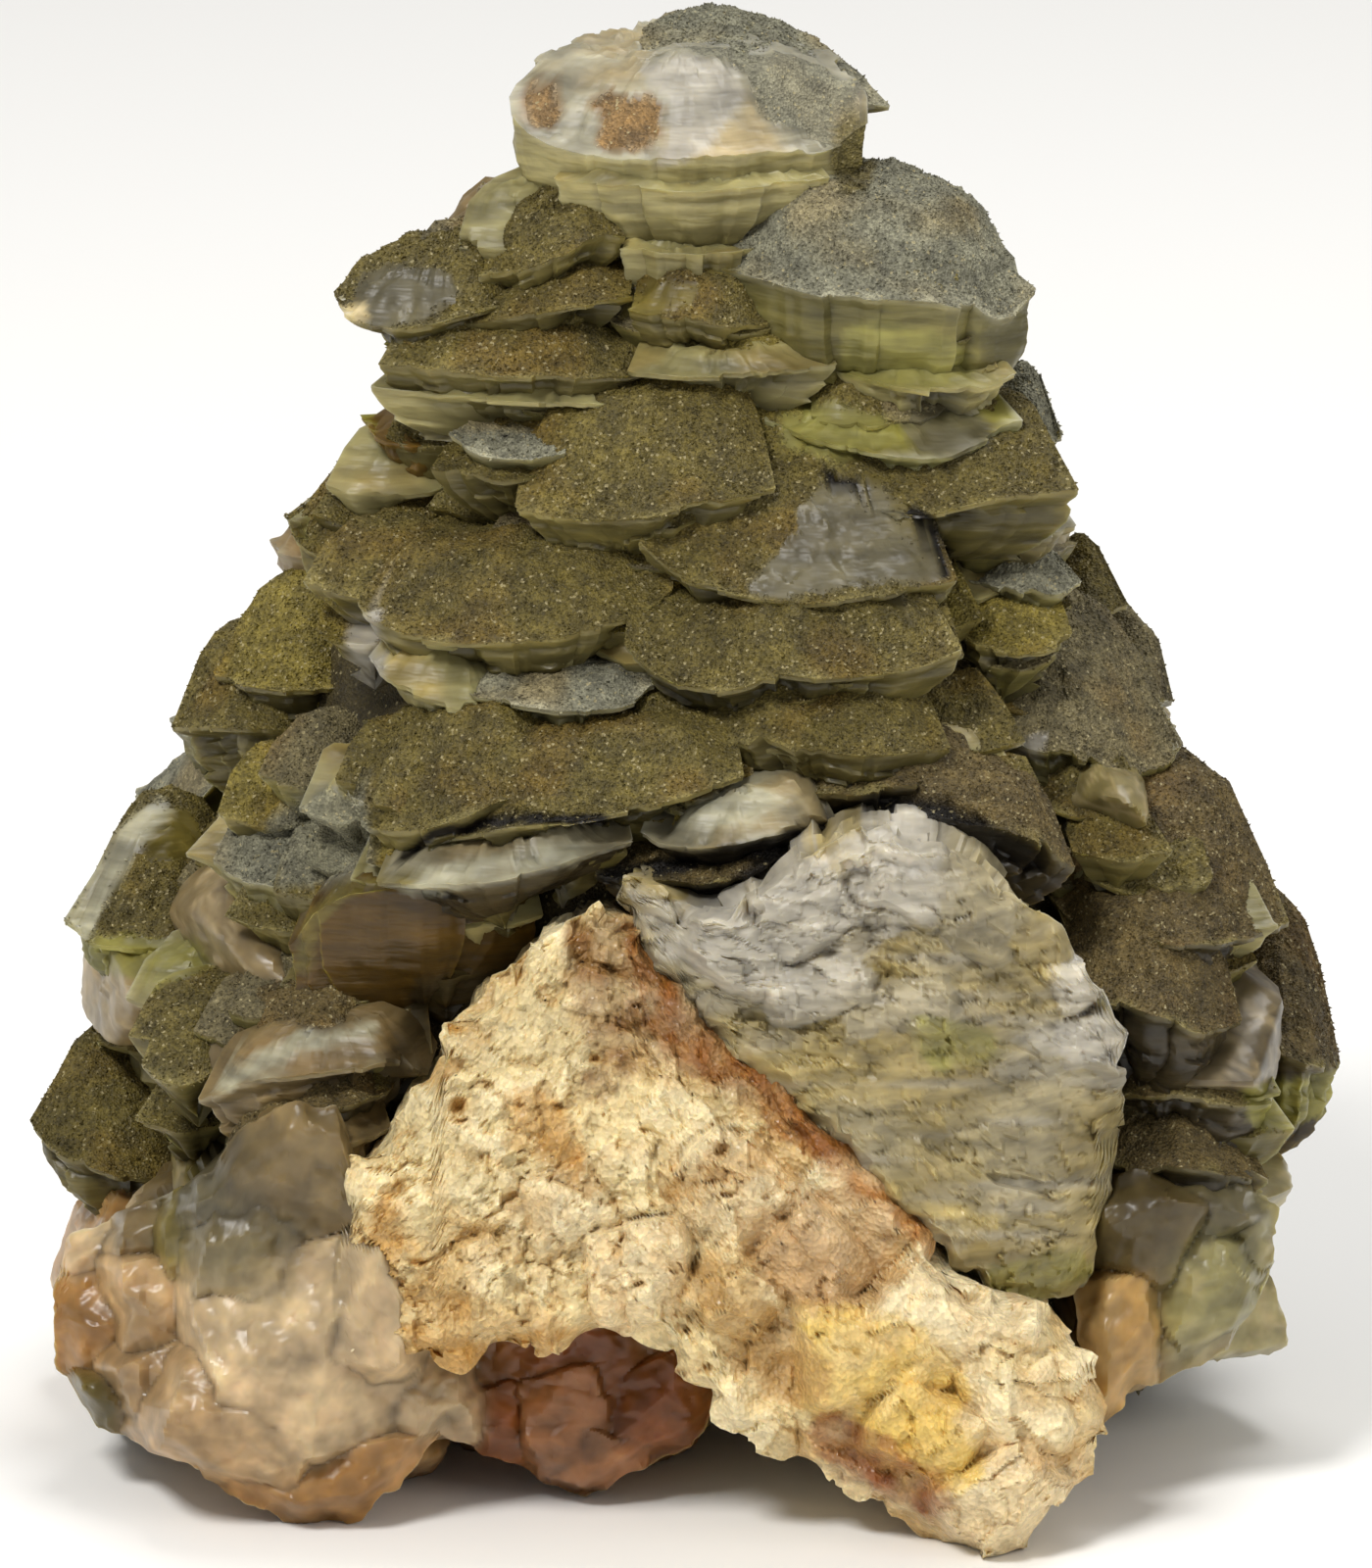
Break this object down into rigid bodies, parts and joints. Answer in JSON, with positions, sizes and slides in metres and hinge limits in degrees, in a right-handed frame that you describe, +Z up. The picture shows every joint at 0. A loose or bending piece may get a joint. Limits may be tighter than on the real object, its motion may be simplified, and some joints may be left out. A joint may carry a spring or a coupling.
{
  "type": "calcite with quartz mineral specimen",
  "caption": "Tower-like stack of overlapping calcite plates with a drusy coat, broken open in front over a sugary quartz core and a cleaved calcite crystal; it stands by itself.",
  "frame": {"origin": "on the surface that the specimen stands on, under the middle of its box", "axes": "+Z up; the broken front with the quartz core faces -Y; +X is to the viewer's right"},
  "size_m": [0.096, 0.0826, 0.1015],
  "materials": {
    "drusy_calcite": "olive-gold sugary druse over grey-green, yellow and peach translucent calcite",
    "sugary_quartz": "sugary cream quartz stained yellow, orange and brown",
    "clear_calcite": "cloudy, pale grey-green cleaved calcite with a white fractured top"
  },
  "bodies": {
    "root": {"calcite_plates": "drusy_calcite", "quartz_core": "sugary_quartz", "cleaved_calcite": "clear_calcite"}
  },
  "joints": []
}
